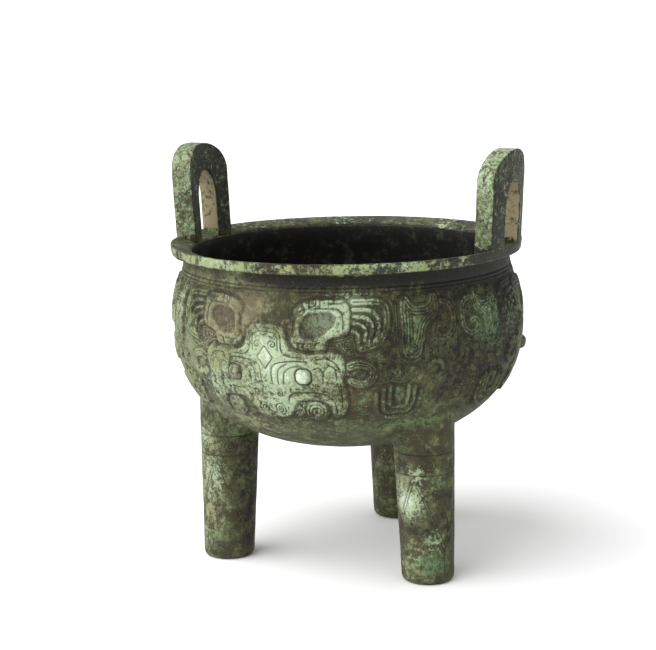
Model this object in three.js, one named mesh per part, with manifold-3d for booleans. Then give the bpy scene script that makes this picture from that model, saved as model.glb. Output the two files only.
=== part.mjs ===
// Bronze ding, a ritual cauldron cast in one: a round bowl with a sloping lip, two upright loop
// handles that follow the lip's curve, and three column legs. The band round the belly carries
// three beast masks.
// Millimetres, +Z up. The origin is on the floor under the middle of the bowl. The front is -Y,
// the handles stand at +X and -X, and one leg stands at the back, at +Y.

import * as THREE from 'three';
import { mergeVertices } from 'three/addons/utils/BufferGeometryUtils.js';
import Module from 'manifold-3d';

const wasm = await Module();
wasm.setup();

// Bowl
const BOWL_CLEARANCE = 69.7; // floor to the underside of the bowl at its middle
const LOWER_BOWL_HEIGHT = 75.4; // underside to the widest level of the belly
const UPPER_BOWL_HEIGHT = 39.8; // widest level to the underside of the lip
const BELLY_RADIUS = 103.3; // plain wall, outside
const NECK_RADIUS = 96.2; // plain wall, outside
const WALL = 4.8;

// Lip
const MOUTH_RADIUS = 104; // outer top edge
const LIP_THICKNESS = 6.4;
const LIP_TAPER = 0.9; // the lower edge stands out less than the upper one by this
const LIP_FALL = 3.5; // the top slopes down by this from its outer edge to the mouth

// Handles
const HANDLE_HEIGHT = 54.4; // above the lip's outer edge
const HANDLE_WIDTH = 53.4; // along the lip
const HANDLE_THICKNESS = 12;
const HANDLE_ARCH = 17.7; // height of the rounded top
const HANDLE_LEAN = 2.6; // outward, at the top
const HANDLE_INSET = 0.4; // outer face inside the lip's edge
const OPENING_WIDTH = 23.6;
const OPENING_HEIGHT = 37.8; // above the lip's outer edge
const OPENING_ARCH = 17.4;
const HANDLE_ROOT = 4.2; // how far the feet reach down into the lip, from its outer edge

// Legs
const LEG_COUNT = 3;
const LEG_CIRCLE = 74.8; // bowl's axis to the middle of the sole
const LEG_LEAN = 2.2; // inward, from the sole to the underside of the bowl
const LEG_FOOT_RADIUS = 15.1;
const LEG_SHOULDER_RADIUS = 17.2; // level with the underside of the bowl
const SOLE_ROUNDING = 3;

// Relief band round the belly
const BAND_DROP = 9.1; // underside of the lip to the top of the band
const BAND_HEIGHT = 75;
const MASK_DRIFT = 2; // degrees by which each mask sits left of the middle between two legs
const RELIEF = 1.5; // above the plain wall
const RELIEF_ROOT = 1.2; // below the face of the plain wall
const EYE_RADIUS = 4.2;
const EYE_RISE = 2.2; // above the relief

// Shape of the bowl's half section, as exponents
const UNDERSIDE_CURVE = 2.2;
const BELLY_CURVE = 2.4;
const SHOULDER_CURVE = 1.3;

// Drawing grid of a mask: columns count from its middle line to the edge of its share of the
// band, rows from the bottom of the band to its top
const MASK_COLUMNS = 105;
const MASK_ROWS = 72;

// Fineness of the faceted surfaces
const BOWL_SIDES = 44;
const CAVITY_SIDES = 36;
const LOWER_LEVELS = 7;
const UPPER_LEVELS = 3;
const CAVITY_LOWER_LEVELS = 5;
const CAVITY_UPPER_LEVELS = 2;
const LEG_SIDES = 16;
const ARCH_STEPS = 8;
const EYE_SIDES = 8;
const CURL_SIDES = 6;
const LONGEST_RUN = 18; // of an outline's edge along the band, in grid steps
const LONGEST_RISE = 12; // of an outline's edge up the band, in grid steps

// Worked out from the sizes above
const BELLY_LEVEL = BOWL_CLEARANCE + LOWER_BOWL_HEIGHT;
const LIP_UNDERSIDE = BELLY_LEVEL + UPPER_BOWL_HEIGHT;
const RIM_LEVEL = LIP_UNDERSIDE + LIP_THICKNESS;
const THROAT_RADIUS = NECK_RADIUS - WALL;
const BAND_TOP = LIP_UNDERSIDE - BAND_DROP;
const BAND_BOTTOM = BAND_TOP - BAND_HEIGHT;
const SECTOR = 360 / LEG_COUNT;
const LEG_WIDENING = (LEG_SHOULDER_RADIUS - LEG_FOOT_RADIUS) / BOWL_CLEARANCE;
const PASS = 16; // cutting shapes run on by this past what they cut
const SLOPE_REACH = 0.5; // height above and below a point over which the wall's slope is taken

const bronze = new THREE.MeshStandardMaterial({
  color: 0x5f6650,
  roughness: 0.72,
  metalness: 0.35,
  flatShading: true,
});

const at = (x, y) => new THREE.Vector2(x, y);
const radians = THREE.MathUtils.degToRad;

const EYE_CENTRE = at(22.3, 27.6); // on the drawing grid

// Solids

function toSolid(geometry) {
  const bare = geometry.clone();
  bare.deleteAttribute('normal');
  bare.deleteAttribute('uv');
  const merged = mergeVertices(bare);
  const mesh = new wasm.Mesh({
    numProp: 3,
    vertProperties: new Float32Array(merged.attributes.position.array),
    triVerts: new Uint32Array(merged.index.array),
  });
  return new wasm.Manifold(mesh);
}

function toGeometry(solid) {
  const mesh = solid.getMesh();
  const geometry = new THREE.BufferGeometry();
  geometry.setAttribute('position', new THREE.BufferAttribute(mesh.vertProperties, 3));
  geometry.setIndex(new THREE.BufferAttribute(mesh.triVerts, 1));
  geometry.computeVertexNormals();
  return geometry;
}

function joined(solids) {
  return solids.reduce((sum, solid) => sum.add(solid));
}

// A half section turned about the vertical axis
function turned(section, sides) {
  return new THREE.LatheGeometry(section, sides).rotateX(Math.PI / 2);
}

// An outline extruded from inner to outer depth and wrapped round an upright surface, where
// place(x, y, depth) gives the point in space
function wrapped(shape, inner, outer, place) {
  const geometry = new THREE.ExtrudeGeometry(shape, { depth: 1, bevelEnabled: false });
  const position = geometry.attributes.position;
  for (let i = 0; i < position.count; i += 1) {
    const depth = THREE.MathUtils.lerp(inner, outer, position.getZ(i));
    const point = place(position.getX(i), position.getY(i), depth);
    position.setXYZ(i, point.x, point.y, point.z);
  }
  return geometry;
}

function onCircle(angle, radius, height) {
  return new THREE.Vector3(radius * Math.sin(angle), -radius * Math.cos(angle), height);
}

// Outlines

function closedShape(points) {
  const finer = points.flatMap((point, i) => {
    const next = points[(i + 1) % points.length];
    const run = Math.abs(next.x - point.x) / LONGEST_RUN;
    const rise = Math.abs(next.y - point.y) / LONGEST_RISE;
    const pieces = Math.ceil(Math.max(run, rise));
    return Array.from({ length: pieces }, (_, k) => point.clone().lerp(next, k / pieces));
  });
  return new THREE.Shape(finer);
}

function mirroredPoints(points) {
  return points.map((point) => at(-point.x, point.y)).reverse();
}

// A strip of even width along a centre line
function ribbon(points, width) {
  const left = [];
  const right = [];
  points.forEach((point, i) => {
    const entering = point.clone().sub(points[Math.max(i - 1, 0)]).normalize();
    const leaving = points[Math.min(i + 1, points.length - 1)].clone().sub(point).normalize();
    const along = entering.clone().add(leaving).normalize();
    const bend = Math.max(along.dot(entering), along.dot(leaving));
    const across = at(-along.y, along.x).multiplyScalar(width / (2 * bend));
    left.unshift(point.clone().add(across));
    right.push(point.clone().sub(across));
  });
  return [...right, ...left];
}

function disc(centre, radius) {
  return Array.from({ length: CURL_SIDES }, (_, i) => {
    const angle = (i * 2 * Math.PI) / CURL_SIDES;
    return at(centre.x + radius * Math.cos(angle), centre.y + radius * Math.sin(angle));
  });
}

// Bowl

// Radius of the bowl's section at a height; inset moves the whole section inward
function bowlRadius(height, inset) {
  const widest = BELLY_RADIUS - inset;
  if (height <= BELLY_LEVEL) {
    const drop = (BELLY_LEVEL - height) / (LOWER_BOWL_HEIGHT - inset);
    return widest * Math.max(0, 1 - drop ** BELLY_CURVE) ** (1 / UNDERSIDE_CURVE);
  }
  const rise = Math.min(1, (height - BELLY_LEVEL) / UPPER_BOWL_HEIGHT) ** SHOULDER_CURVE;
  const neck = NECK_RADIUS - inset;
  return neck + ((widest - neck) * (1 + Math.cos(Math.PI * rise))) / 2;
}

function sectionLevels(inset, lowerCount, upperCount) {
  const levels = [];
  for (let i = 0; i <= lowerCount; i += 1) {
    const angle = (i * Math.PI) / (2 * lowerCount);
    levels.push(BELLY_LEVEL - (LOWER_BOWL_HEIGHT - inset) * Math.cos(angle));
  }
  for (let i = 1; i <= upperCount; i += 1) {
    levels.push(BELLY_LEVEL + (UPPER_BOWL_HEIGHT * i) / upperCount);
  }
  return levels;
}

function bowlSection(inset, lowerCount, upperCount) {
  const levels = sectionLevels(inset, lowerCount, upperCount);
  return levels.map((height) => at(bowlRadius(height, inset), height));
}

function filledBowl() {
  const section = [
    ...bowlSection(0, LOWER_LEVELS, UPPER_LEVELS),
    at(MOUTH_RADIUS - LIP_TAPER, LIP_UNDERSIDE),
    at(MOUTH_RADIUS, RIM_LEVEL),
    at(THROAT_RADIUS, RIM_LEVEL - LIP_FALL),
    at(0, RIM_LEVEL - LIP_FALL),
  ];
  return toSolid(turned(section, BOWL_SIDES));
}

function bowlCavity() {
  const section = [
    ...bowlSection(WALL, CAVITY_LOWER_LEVELS, CAVITY_UPPER_LEVELS),
    at(THROAT_RADIUS, RIM_LEVEL + PASS),
    at(0, RIM_LEVEL + PASS),
  ];
  return toSolid(turned(section, CAVITY_SIDES));
}

// Handles

function handleShape() {
  const half = HANDLE_WIDTH / 2;
  const halfOpening = OPENING_WIDTH / 2;
  const springing = HANDLE_HEIGHT - HANDLE_ARCH;
  const openingSpringing = OPENING_HEIGHT - OPENING_ARCH;
  const shape = new THREE.Shape();
  shape.moveTo(halfOpening, -HANDLE_ROOT);
  shape.lineTo(half, -HANDLE_ROOT);
  shape.lineTo(half, springing);
  shape.absellipse(0, springing, half, HANDLE_ARCH, 0, Math.PI, false);
  shape.lineTo(-half, -HANDLE_ROOT);
  shape.lineTo(-halfOpening, -HANDLE_ROOT);
  shape.lineTo(-halfOpening, openingSpringing);
  shape.absellipse(0, openingSpringing, halfOpening, OPENING_ARCH, Math.PI, 0, true);
  return new THREE.Shape(shape.getPoints(ARCH_STEPS));
}

function handle(side) {
  const outer = MOUTH_RADIUS - HANDLE_INSET;
  const place = (x, y, depth) => {
    const angle = (side * Math.PI) / 2 + x / outer;
    const lean = (HANDLE_LEAN * y) / HANDLE_HEIGHT;
    return onCircle(angle, outer + lean + depth, RIM_LEVEL + y);
  };
  return toSolid(wrapped(handleShape(), -HANDLE_THICKNESS, 0, place));
}

// Legs

function legRadius(height) {
  return LEG_FOOT_RADIUS + LEG_WIDENING * height;
}

function legColumn() {
  const rounding = [0, 1, 2].map((i) => {
    const angle = (i * Math.PI) / 4;
    const radius = LEG_FOOT_RADIUS - SOLE_ROUNDING * (1 - Math.sin(angle));
    return at(radius, SOLE_ROUNDING * (1 - Math.cos(angle)));
  });
  const section = [
    at(0, 0),
    ...rounding,
    at(legRadius(BOWL_CLEARANCE), BOWL_CLEARANCE),
    at(legRadius(BELLY_LEVEL), BELLY_LEVEL),
    at(0, BELLY_LEVEL),
  ];
  return turned(section, LEG_SIDES);
}

// Leans a leg that was made upright at the middle of the floor, and moves it to its place
function legPlacement(index) {
  const lean = LEG_LEAN / BOWL_CLEARANCE;
  const leaning = new THREE.Matrix4().makeShear(0, 0, 0, 0, 0, lean);
  const outward = new THREE.Matrix4().makeTranslation(0, -LEG_CIRCLE, 0);
  const around = new THREE.Matrix4().makeRotationZ(radians(SECTOR * (index + 0.5)));
  return around.multiply(outward).multiply(leaning);
}

function leg(index) {
  return toSolid(legColumn().applyMatrix4(legPlacement(index)));
}

// Masks, drawn as outlines on the grid. Each is the right half or stands on the middle line.

function bothSides(points) {
  return [...points, ...mirroredPoints(points)];
}

function crown() {
  return bothSides([at(1, 40), at(17.6, 40), at(12.8, 51.6), at(9, 54.4), at(1, 54.6)]);
}

function brows() {
  return bothSides([
    at(4.8, 33),
    at(14, 37.4),
    at(26, 38.6),
    at(32, 34.4),
    at(42, 33.6),
    at(43.4, 37),
    at(38, 41.2),
  ]);
}

function nose() {
  return bothSides([at(5, 2.4), at(9, 9), at(8, 17), at(4.8, 20), at(4.8, 34.4)]);
}

function hornOutline() {
  return [
    at(19.5, 42.8),
    at(33.6, 42.8),
    at(35.4, 50.2),
    at(45.2, 51.6),
    at(45.2, 68),
    at(20.5, 67.8),
    at(16.4, 63.4),
    at(16.8, 46.5),
  ];
}

function hornHole() {
  return [at(22.6, 52.8), at(24, 60), at(36, 61.4), at(36, 53.4)];
}

function bodyHook() {
  const line = [at(47.4, 66), at(59.8, 66), at(62.4, 63), at(62.2, 47.6), at(49, 43.4)];
  return ribbon(line, 3.4);
}

function bodyHookInner() {
  return ribbon([at(48.6, 60), at(56.2, 59), at(57, 48.4)], 3);
}

function eyePlate() {
  return [at(6.4, 21.8), at(30, 21.8), at(30, 34), at(26, 37), at(14, 35.4), at(6.4, 31.4)];
}

function ear() {
  return [at(31.4, 23.4), at(42, 23.4), at(42.6, 31.8), at(31.4, 32.6)];
}

function cheekHook() {
  return ribbon([at(44.4, 31.4), at(56.4, 31), at(57, 24.8), at(48, 24)], 4.2);
}

function jawBand() {
  const line = [at(11.4, 3), at(14, 12.6), at(20.6, 18.4), at(34, 18.6), at(41.4, 10), at(32, 2.4)];
  return ribbon(line, 3.6);
}

function jawCurl() {
  return disc(at(31.4, 9.6), 4.9);
}

function clawBand() {
  return ribbon([at(62.8, 20), at(63.4, 8.4), at(71, 4.8), at(78.8, 8.4), at(79.4, 20.4)], 3.6);
}

function clawPad() {
  return [at(68, 9.6), at(74.4, 9.6), at(76, 20), at(66.2, 20)];
}

function dragonOutline() {
  return [
    at(73.4, 35.8),
    at(81.4, 36.6),
    at(82.6, 52.6),
    at(91.4, 57.6),
    at(93.8, 61),
    at(92.6, 68),
    at(90.2, 68),
    at(87.6, 64.2),
    at(78.2, 64.2),
    at(76.2, 68.4),
    at(72.8, 68),
  ];
}

function tailHook() {
  return ribbon([at(96.2, 63), at(101.4, 60.6), at(101.2, 47.4), at(90.4, 46.6), at(91.4, 52.6)], 3);
}

function halfMaskOutlines() {
  return [
    bodyHook(),
    bodyHookInner(),
    eyePlate(),
    ear(),
    cheekHook(),
    jawBand(),
    jawCurl(),
    clawBand(),
    clawPad(),
    dragonOutline(),
    tailHook(),
  ];
}

function maskShapes() {
  const middle = [crown(), brows(), nose()].map(closedShape);
  const halves = [(points) => points, mirroredPoints].flatMap((turn) => {
    const horn = closedShape(turn(hornOutline()));
    horn.holes.push(new THREE.Path(turn(hornHole())));
    return [horn, ...halfMaskOutlines().map((outline) => closedShape(turn(outline)))];
  });
  return [...middle, ...halves];
}

// Angle and height of a grid point of the mask at this index
function bandPlace(index, column, row) {
  const share = column > 0 ? SECTOR / 2 + MASK_DRIFT : SECTOR / 2 - MASK_DRIFT;
  const degrees = SECTOR * index - MASK_DRIFT + (column * share) / MASK_COLUMNS;
  return { angle: radians(degrees), height: BAND_BOTTOM + (row * BAND_HEIGHT) / MASK_ROWS };
}

// A point that stands off the plain wall by depth, square to it
function offWall(angle, height, depth) {
  const above = bowlRadius(height + SLOPE_REACH, 0);
  const below = bowlRadius(height - SLOPE_REACH, 0);
  const fall = (above - below) / (2 * SLOPE_REACH);
  const length = Math.hypot(1, fall);
  const radius = bowlRadius(height, 0) + depth / length;
  return onCircle(angle, radius, height - (depth * fall) / length);
}

function mask(index) {
  const place = (column, row, depth) => {
    const { angle, height } = bandPlace(index, column, row);
    return offWall(angle, height, depth);
  };
  const plates = maskShapes().map((shape) => toSolid(wrapped(shape, -RELIEF_ROOT, RELIEF, place)));
  const eyes = [-1, 1].map((side) => {
    const { angle, height } = bandPlace(index, side * EYE_CENTRE.x, EYE_CENTRE.y);
    const centre = offWall(angle, height, RELIEF);
    const ball = new THREE.SphereGeometry(1, EYE_SIDES, EYE_SIDES / 2 + 1);
    ball.scale(EYE_RADIUS, EYE_RISE, EYE_RADIUS);
    ball.rotateZ(angle);
    return toSolid(ball.translate(centre.x, centre.y, centre.z));
  });
  return joined([...plates, ...eyes]);
}

function vessel() {
  const legs = Array.from({ length: LEG_COUNT }, (_, i) => leg(i));
  const masks = Array.from({ length: LEG_COUNT }, (_, i) => mask(i));
  const body = joined([filledBowl(), ...legs, ...masks]).subtract(bowlCavity());
  return joined([body, handle(-1), handle(1)]);
}

const ding = new THREE.Mesh(toGeometry(vessel()), bronze);
ding.name = 'ding_vessel';

const group = new THREE.Group();
group.add(ding);

export default group;
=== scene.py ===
"""Bronze ding vessel: a cast cauldron on three legs, with beast masks in relief round its belly.

The vessel is one casting, so it is one piece here too. Its forms repeat the frame's sizes, and
the finer relief, the engraved lines, the patina and the wear are added on them. Operators and
properties are in metres, drawing code is in millimetres. An azimuth is in degrees from the
front, -Y, and grows towards +X.
"""

import math

import bmesh
import bpy
import numpy as np
from mathutils import Matrix, Vector


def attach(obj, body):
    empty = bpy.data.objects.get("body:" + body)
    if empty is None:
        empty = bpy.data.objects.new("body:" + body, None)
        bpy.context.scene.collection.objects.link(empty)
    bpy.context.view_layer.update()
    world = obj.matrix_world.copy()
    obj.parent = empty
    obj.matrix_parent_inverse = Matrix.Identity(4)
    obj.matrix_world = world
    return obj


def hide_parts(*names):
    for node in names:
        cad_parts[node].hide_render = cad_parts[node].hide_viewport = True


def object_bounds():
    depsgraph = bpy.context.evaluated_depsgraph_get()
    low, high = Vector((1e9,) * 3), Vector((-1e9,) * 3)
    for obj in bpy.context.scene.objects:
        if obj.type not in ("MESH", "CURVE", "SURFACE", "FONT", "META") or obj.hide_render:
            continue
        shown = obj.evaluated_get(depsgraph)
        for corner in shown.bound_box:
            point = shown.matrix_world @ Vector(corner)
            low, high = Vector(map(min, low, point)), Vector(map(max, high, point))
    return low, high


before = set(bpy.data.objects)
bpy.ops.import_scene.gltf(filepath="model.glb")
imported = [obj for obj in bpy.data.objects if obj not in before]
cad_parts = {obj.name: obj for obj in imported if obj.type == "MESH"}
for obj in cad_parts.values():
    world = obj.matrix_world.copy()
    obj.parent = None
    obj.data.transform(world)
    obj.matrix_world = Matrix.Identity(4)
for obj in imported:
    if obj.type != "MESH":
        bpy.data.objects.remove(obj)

bl_info = {
    "name": "Bronze ding vessel",
    "version": (1, 0, 0),
    "blender": (4, 5, 0),
    "location": "View3D > Sidebar > Ding",
    "description": "Models a cast bronze ding with mask relief and an excavated patina",
    "category": "Add Mesh",
}

MM = 0.001
CAD_NODE = "ding_vessel"
CAD_BOX = [list(corner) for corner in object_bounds()]
TURN = 2 * math.pi


# Properties


def length(name, description, millimetres):
    return bpy.props.FloatProperty(
        name=name, description=description, default=millimetres * MM, unit="LENGTH", precision=4
    )


def angle(name, description, degrees):
    return bpy.props.FloatProperty(
        name=name, description=description, default=math.radians(degrees), subtype="ANGLE"
    )


def number(name, description, default):
    return bpy.props.FloatProperty(name=name, description=description, default=default)


def colour(name, description, hex_value):
    return bpy.props.FloatVectorProperty(
        name=name,
        description=description,
        default=linear(hex_value),
        size=3,
        min=0,
        max=1,
        subtype="COLOR",
    )


def linear(hex_value):
    """Turns an sRGB hex colour into linear values."""
    shares = [int(hex_value[i : i + 2], 16) / 255 for i in (1, 3, 5)]
    return tuple(c / 12.92 if c <= 0.04045 else ((c + 0.055) / 1.055) ** 2.4 for c in shares)


class DingBowlSizes(bpy.types.PropertyGroup):
    """Sizes of the bowl and its lip"""

    clearance: length("Clearance", "Floor to the underside of the bowl", 69.7)
    lower_height: length("Lower height", "Underside of the bowl to its widest level", 75.4)
    upper_height: length("Upper height", "Widest level to the underside of the lip", 39.8)
    belly_radius: length("Belly radius", "Outside of the plain wall at its widest", 103.3)
    neck_radius: length("Neck radius", "Outside of the plain wall under the lip", 96.2)
    wall: length("Wall", "Thickness of the wall", 4.8)
    mouth_radius: length("Mouth radius", "Outer top edge of the lip", 104)
    lip_thickness: length("Lip thickness", "Height of the lip's edge", 6.4)
    lip_taper: length("Lip taper", "How much less the lip's lower edge stands out", 0.9)
    lip_fall: length("Lip fall", "Slope of the lip's top towards the mouth", 3.5)
    lip_rounding: length("Lip rounding", "Worn roundness of the lip's edges", 1.1)


class DingHandleSizes(bpy.types.PropertyGroup):
    """Sizes of the two handles"""

    height: length("Height", "Top of the handle above the lip", 54.4)
    width: length("Width", "Along the lip", 53.4)
    thickness: length("Thickness", "Across the lip", 12)
    arch: length("Arch", "Height of the rounded top", 17.7)
    lean: length("Lean", "Outward at the top", 2.6)
    inset: length("Inset", "Outer face inside the lip's edge", 0.4)
    opening_width: length("Opening width", "Along the lip", 23.6)
    opening_height: length("Opening height", "Top of the opening above the lip", 37.8)
    opening_arch: length("Opening arch", "Height of the opening's rounded top", 17.4)
    root: length("Root", "How far the feet reach down into the lip", 4.2)
    rounding: length("Rounding", "Worn roundness of the arrises", 0.9)


class DingLegSizes(bpy.types.PropertyGroup):
    """Sizes of the three legs"""

    circle: length("Circle", "Bowl's axis to the middle of a sole", 74.8)
    lean: length("Lean", "Inward, from the sole to the underside of the bowl", 2.2)
    foot_radius: length("Foot radius", "Radius at the sole", 15.1)
    shoulder_radius: length("Shoulder radius", "Level with the underside of the bowl", 17.2)
    sole_rounding: length("Sole rounding", "Worn roundness of the sole's edge", 3)
    fillet: length("Fillet", "Soft join between leg and bowl", 3.2)
    blade_top: length("Blade top", "Height of the top of the hanging blades", 61)
    blade_tip: length("Blade tip", "Height of the tip of the hanging blades", 19)
    band_bottom: length("Band bottom", "Lower edge of the spiral band", 65)
    band_top: length("Band top", "Upper edge of the spiral band", 77)


class DingReliefSizes(bpy.types.PropertyGroup):
    """Sizes of the relief band"""

    drop: length("Drop", "Underside of the lip to the top of the band", 9.1)
    height: length("Height", "Height of the band", 75)
    relief: length("Relief", "Masks above the plain wall", 1.5)
    edge: length("Edge", "Width of the slope at the edge of a raised shape", 0.9)
    eye_rise: length("Eye rise", "Eyes above the relief", 2.6)
    line_depth: length("Line depth", "Depth of an engraved line", 0.75)
    line_width: length("Line width", "Width of an engraved line", 0.7)
    ground_pitch: length("Ground pitch", "Spacing of the squared spirals' lines", 1.3)
    ground_depth: length("Ground depth", "Depth of the squared spirals", 0.55)
    roughness: length("Roughness", "Unevenness of the corroded surface", 0.16)
    drift: number("Drift", "Degrees by which each mask sits left of the middle between two legs", 2)


class DingPatinaColours(bpy.types.PropertyGroup):
    """Colours of the corroded bronze"""

    bare: colour("Bare bronze", "Brown-grey tin-rich metal under thin corrosion", "#373220")
    olive: colour("Olive", "Thin green-grey patina", "#474e30")
    # Dust is also laid as painted light on the front legs' left sides
    dust: colour("Dust", "Pale grey-green mineral film", "#8b8f6d")
    green: colour("Green", "Malachite green", "#5d7a55")
    mint: colour("Mint", "Pale powdery malachite", "#a3b594")
    chalk: colour("Chalk", "Palest mineral crust", "#c9d3bf")
    lip_green: colour("Lip green", "Yellow-green of the lip", "#8c9668")
    brown: colour("Brown", "Warm brown corrosion", "#6a5f49")
    rust: colour("Red-brown", "Cuprite showing through", "#7c4a30")
    # Dark is also laid as painted shade: on the front legs' right sides, on the lip's edge to the right
    # and on the neck under the lip
    dark: colour("Dark", "Black tenorite and soot", "#161512")
    # Dirt is also laid as painted shade in the nooks beside raised shapes and round the eyes
    dirt: colour("Dirt", "Earth left in the lines", "#1f1b14")
    earth: colour("Ochre earth", "Burial earth in sheltered places", "#948a6c")


class DingStageSettings(bpy.types.PropertyGroup):
    """Floor, light and camera"""

    floor_radius: length("Floor radius", "Radius of the level paper", 60000)
    floor_colour: colour("Floor", "Pale studio paper", "#f6f6f6")
    key_azimuth: angle("Key azimuth", "Side of the key light", -44)
    key_height: angle("Key height", "Key light above level", 47)
    key_softness: angle("Key softness", "Width of the key light", 75)
    key_strength: number("Key strength", "Irradiance in watts a square metre", 3.5)
    fill_strength: number("Fill strength", "Radiance of the pale room", 0.75)
    distance: length("Distance", "Bowl's axis to the camera, level", 1011.3)
    eye_level: length("Eye level", "Height of the camera", 332)
    focal_length: number("Focal length", "In millimetres, on a 36 mm sensor", 94.28)
    side: angle("Side", "Camera's azimuth", 23.96)
    yaw: angle("Yaw", "Turn of the camera to the left", 0.6646)
    pitch: angle("Pitch", "Tilt of the camera downwards", 10.829)
    roll: angle("Roll", "Roll of the camera", 1.1746)


class Millimetres:
    """A property group's lengths in millimetres, its other values as they are."""

    def __init__(self, group):
        for key in group.__annotations__:
            value = getattr(group, key)
            is_length = group.bl_rna.properties[key].unit == "LENGTH"
            setattr(self, key, value / MM if is_length else value)


# Forms of the bowl

UNDERSIDE_CURVE = 2.2
BELLY_CURVE = 2.4
SHOULDER_CURVE = 1.3
LEG_COUNT = 3
SECTOR = 360 / LEG_COUNT
SLOPE_REACH = 0.5  # height above and below a point over which the wall's slope is taken


class Bowl(Millimetres):
    """The bowl's section, by the same formulas as the frame's solid."""

    def __init__(self, group):
        super().__init__(group)
        self.belly_level = self.clearance + self.lower_height
        self.lip_underside = self.belly_level + self.upper_height
        self.rim_level = self.lip_underside + self.lip_thickness
        self.throat_radius = self.neck_radius - self.wall

    def radius(self, height, inset=0.0):
        """Radius of the wall at heights, moved inward by inset."""
        widest = self.belly_radius - inset
        neck = self.neck_radius - inset
        drop = np.clip((self.belly_level - height) / (self.lower_height - inset), 0, 1)
        lower = widest * (1 - drop**BELLY_CURVE) ** (1 / UNDERSIDE_CURVE)
        rise = np.clip((height - self.belly_level) / self.upper_height, 0, 1) ** SHOULDER_CURVE
        upper = neck + (widest - neck) * (1 + np.cos(np.pi * rise)) / 2
        return np.where(height <= self.belly_level, lower, upper)

    def underside(self, radius):
        """Height of the outside of the lower bowl at radii."""
        share = 1 - np.clip(radius / self.belly_radius, 0, 1) ** UNDERSIDE_CURVE
        return self.belly_level - self.lower_height * share ** (1 / BELLY_CURVE)

    def normal(self, height):
        """Outward and upward parts of the wall's normal at heights."""
        fall = (self.radius(height + SLOPE_REACH) - self.radius(height - SLOPE_REACH)) / (
            2 * SLOPE_REACH
        )
        size = np.hypot(1, fall)
        return 1 / size, -fall / size


def azimuth_of(points):
    return np.degrees(np.arctan2(points[:, 0], -points[:, 1]))


def wrapped_degrees(degrees):
    return (degrees + 180) % 360 - 180


# Drawing of a mask: columns count from its middle line to the edge of its share of the band,
# rows from the bottom of the band to its top. A step of either is about a millimetre.

MASK_COLUMNS = 105
MASK_ROWS = 72
BEYOND = -8  # column past the middle line, where a shape that crosses it is closed
EYE_COLUMN = 20.6
EYE_ROW = 27.4
EYE_HALF = 3.6
EYE_CORNER = 2.8
EYE_RING = 0.8  # how far outside the eye an engraved ring runs
EYE_MARGIN = 0.5  # no other line comes nearer to the eye than this

FACE = [
    (BEYOND, 54.8), (6.6, 54.4), (10.6, 52), (11.8, 48), (12.2, 44.8), (13.4, 42), (16, 40.2),
    (21, 39.6), (31.5, 39.6), (34.5, 41), (38, 40.8), (41.2, 38), (42.6, 34), (42.2, 30), (40.6, 26.6),
    (42, 22), (43.6, 18), (43.6, 9), (41, 4.4), (36.6, 2.6), (35, 3.6), (34.8, 9), (32.8, 12.8),
    (28, 14), (17.6, 14), (15.2, 12.6), (13, 9), (11.4, 5.4), (9, 3.2), (4, 2.4), (BEYOND, 2.4),
]
HORN = [
    (15, 61.6), (17.4, 64.4), (20.7, 66.4), (27, 67.6), (45.4, 67.8), (45, 52), (42.6, 49.6),
    (36, 48.6), (33.6, 47.2), (32.8, 44.6), (32.4, 42.6), (31, 41.8), (20, 41.8), (16.8, 43),
    (14.6, 45.8), (14.8, 47.6), (16.4, 49.6), (17, 56), (17.6, 58.6),
]
HORN_HOLE = [
    (19.4, 48.2), (19.2, 55), (21.4, 59.6), (25, 60.9), (34.4, 61.6), (38.4, 59.2), (37.4, 54.4),
    (34.4, 52.6), (32, 49.4), (25, 47.4),
]
CLAW_PAD = [(68.6, 12), (73.8, 12), (73.8, 21), (68.6, 21)]
DRAGON = [
    (71.6, 38.6), (71.6, 66), (73, 68), (76, 68), (77.4, 64.6), (79, 62.8), (85.6, 62.6),
    (88.6, 64.6), (89.4, 68.4), (92.6, 68.8), (93.4, 66), (93.2, 60), (91.6, 56.8), (87, 54),
    (84.6, 51), (84, 44.6), (82.4, 42.8), (83, 40.2), (81.4, 36.6), (77.4, 35.4), (74, 36.4),
]

# Raised outlines, with how far inside the edge each engraved line runs
PLATES = [
    (FACE, []),
    (CLAW_PAD, []),
    (DRAGON, [1.3, 2.9, 4.4]),
]
# Raised bands: centre line, width, and how far inside the edge each engraved line runs
BANDS = [
    ([(47.2, 66.4), (61, 66.2), (64.4, 63), (64.4, 55), (62, 48), (58, 44), (51, 42.4)], 3.4, [1.7]),
    ([(47, 62.6), (57.2, 62), (60.4, 57), (59.8, 50), (57, 45.6)], 2.2, []),
    ([(47, 59), (54, 58.4), (56.8, 54.6), (56.2, 49), (53.8, 45)], 2, []),
    ([(47.4, 55.6), (51.6, 54.6), (53.4, 51.4), (52.6, 46)], 1.8, []),
    ([(46.4, 51.6), (49.4, 50.6), (49.6, 46)], 1.6, []),
    (
        [(44.8, 33), (48.6, 34.6), (54.6, 33.2), (57.4, 28.6), (55, 23.8), (49, 22.8), (45.6, 25)],
        4,
        [1.3],
    ),
    ([(66, 21), (66, 11), (67.6, 9), (74.6, 9), (76.2, 11), (76.2, 21)], 2.2, []),
    ([(62.4, 20), (62.4, 9), (65.2, 5.7), (76.8, 5.7), (79.8, 9), (79.8, 20)], 2.2, []),
    ([(58.8, 17), (58.8, 7), (63, 2.6), (79, 2.6), (83.4, 7), (83.4, 17)], 2.2, []),
    (
        [(95.4, 64), (99.6, 63), (101.8, 59), (101.8, 50), (98, 45.4), (92.6, 45.4), (89.4, 49),
         (91.4, 52.6), (95, 52)],
        3,
        [1.5],
    ),
    ([(86, 30), (90, 33.6), (94.6, 32), (95.4, 27), (91.6, 24.6)], 2.4, []),
]
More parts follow.
